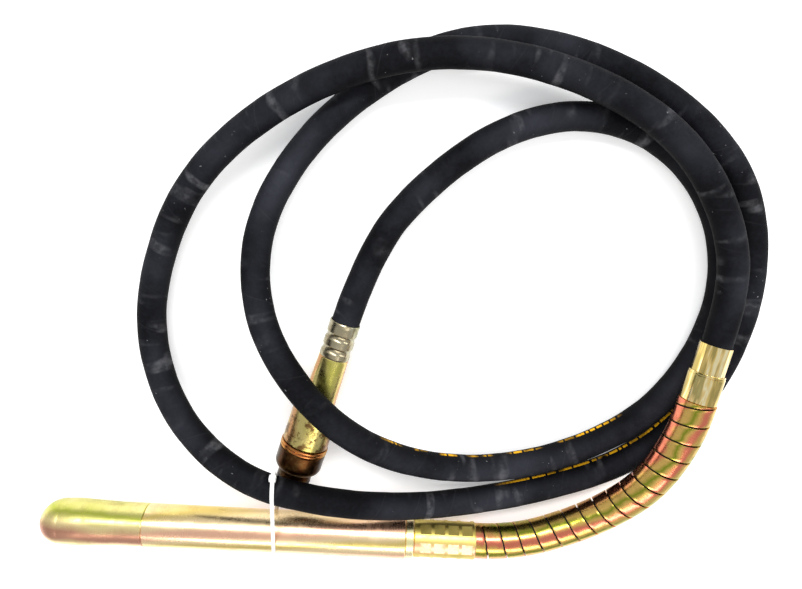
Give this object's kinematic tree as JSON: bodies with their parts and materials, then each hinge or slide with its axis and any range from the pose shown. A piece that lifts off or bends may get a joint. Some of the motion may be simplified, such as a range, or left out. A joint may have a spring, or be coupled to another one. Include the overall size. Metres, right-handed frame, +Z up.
{
  "type": "concrete vibrator",
  "caption": "Flexible-shaft concrete vibrator: round-nosed steel head, spiral bend guard, coiled black rubber hose and a quick coupling with a locking sleeve.",
  "frame": {"origin": "centre of the base of the head, bend guard and sleeve, taken without the free hose and its coupling", "axes": "+X along the head from the nose to the guard, +Z up, away from the floor it lies on"},
  "size_m": [0.8287, 0.6198, 0.086],
  "materials": {
    "head_plate": "yellow chromate over zinc, turned steel, faintly iridescent",
    "connector_plate": "yellow chromate over zinc on a turned connector",
    "guard_plate": "yellow chromate over zinc with green and pink tints",
    "sleeve_plate": "pale yellow chromate on a faceted sleeve",
    "crimp_plate": "pale silver-gold chromate on a swaged shell",
    "coupling_plate": "olive and gold chromate over zinc, turned steel",
    "lock_plate": "darker bronze-brown chromate, worn at the rim",
    "hose_rubber": "matt black wrapped rubber with dusty scuffs and a broken yellow stripe",
    "seal_rubber": "smooth black nitrile rubber",
    "bearing_steel": "ground and polished bearing steel",
    "cage_brass": "machined brass",
    "spring_steel": "dark oiled spring steel",
    "core_steel": "stranded steel wire, greased",
    "shaft_steel": "turned and ground steel",
    "tie_nylon": "white moulded nylon"
  },
  "bodies": {
    "root": {"head_casing": "head_plate", "nose_cap": "head_plate", "nose_o_ring": "seal_rubber", "front_spacer": "shaft_steel", "front_outer_race": "bearing_steel", "rear_outer_race": "bearing_steel", "rear_circlip": "spring_steel", "rotor_seal": "seal_rubber", "lock_ring": "connector_plate", "rear_connector": "connector_plate", "spiral_guard": "guard_plate", "guard_collar": "guard_plate", "collar_ring": "guard_plate", "guard_sleeve": "sleeve_plate", "hose_in_guard": "hose_rubber", "hose": "hose_rubber", "hose_liner": "spring_steel", "flexible_core": "core_steel", "hose_end": "hose_rubber", "crimp_ferrule": "crimp_plate", "coupling_body": "coupling_plate", "spindle_outer_race": "bearing_steel", "spindle_circlip": "spring_steel", "spindle_seal": "seal_rubber", "coupling_pilot": "coupling_plate", "pilot_o_ring": "seal_rubber", "thrust_ring_rear": "coupling_plate", "thrust_ring_front": "coupling_plate", "cable_tie": "tie_nylon"},
    "rotor": {"eccentric_rotor": "shaft_steel", "front_inner_race": "bearing_steel", "rear_inner_race": "bearing_steel", "core_tip_head": "core_steel"},
    "front_cage": {"front_cage": "cage_brass", "front_balls": "bearing_steel"},
    "rear_cage": {"rear_cage": "cage_brass", "rear_balls": "bearing_steel"},
    "spindle": {"drive_spindle": "shaft_steel", "spindle_inner_race": "bearing_steel"},
    "spindle_cage": {"spindle_cage": "cage_brass", "spindle_balls": "bearing_steel"},
    "lock": {"locking_sleeve": "lock_plate"}
  },
  "joints": [
    {"name": "rotor_spin", "type": "hinge", "parent": "root", "child": "rotor", "pos_m": [-0.2, -0.122, 0.027], "axis": [1, 0, 0], "continuous": true},
    {"name": "front_cage_spin", "type": "hinge", "parent": "root", "child": "front_cage", "pos_m": [-0.2, -0.122, 0.027], "axis": [1, 0, 0], "continuous": true},
    {"name": "rear_cage_spin", "type": "hinge", "parent": "root", "child": "rear_cage", "pos_m": [-0.2, -0.122, 0.027], "axis": [1, 0, 0], "continuous": true},
    {"name": "spindle_spin", "type": "hinge", "parent": "root", "child": "spindle", "pos_m": [-0.06797, 0.02462, 0.028], "axis": [0.2747, 0.9615, 0], "continuous": true},
    {"name": "spindle_cage_spin", "type": "hinge", "parent": "root", "child": "spindle_cage", "pos_m": [-0.06591, 0.03183, 0.028], "axis": [0.2747, 0.9615, 0], "continuous": true},
    {"name": "lock_turn", "type": "hinge", "parent": "root", "child": "lock", "pos_m": [-0.0817, -0.02346, 0.028], "axis": [-0.2747, -0.9615, 0], "range_deg": [0, 60]}
  ],
  "couplings": [
    {"joint": "front_cage_spin", "follows": "rotor_spin", "ratio": 0.3632},
    {"joint": "rear_cage_spin", "follows": "rotor_spin", "ratio": 0.3632},
    {"joint": "spindle_spin", "follows": "rotor_spin", "ratio": 1},
    {"joint": "spindle_cage_spin", "follows": "rotor_spin", "ratio": 0.368}
  ]
}
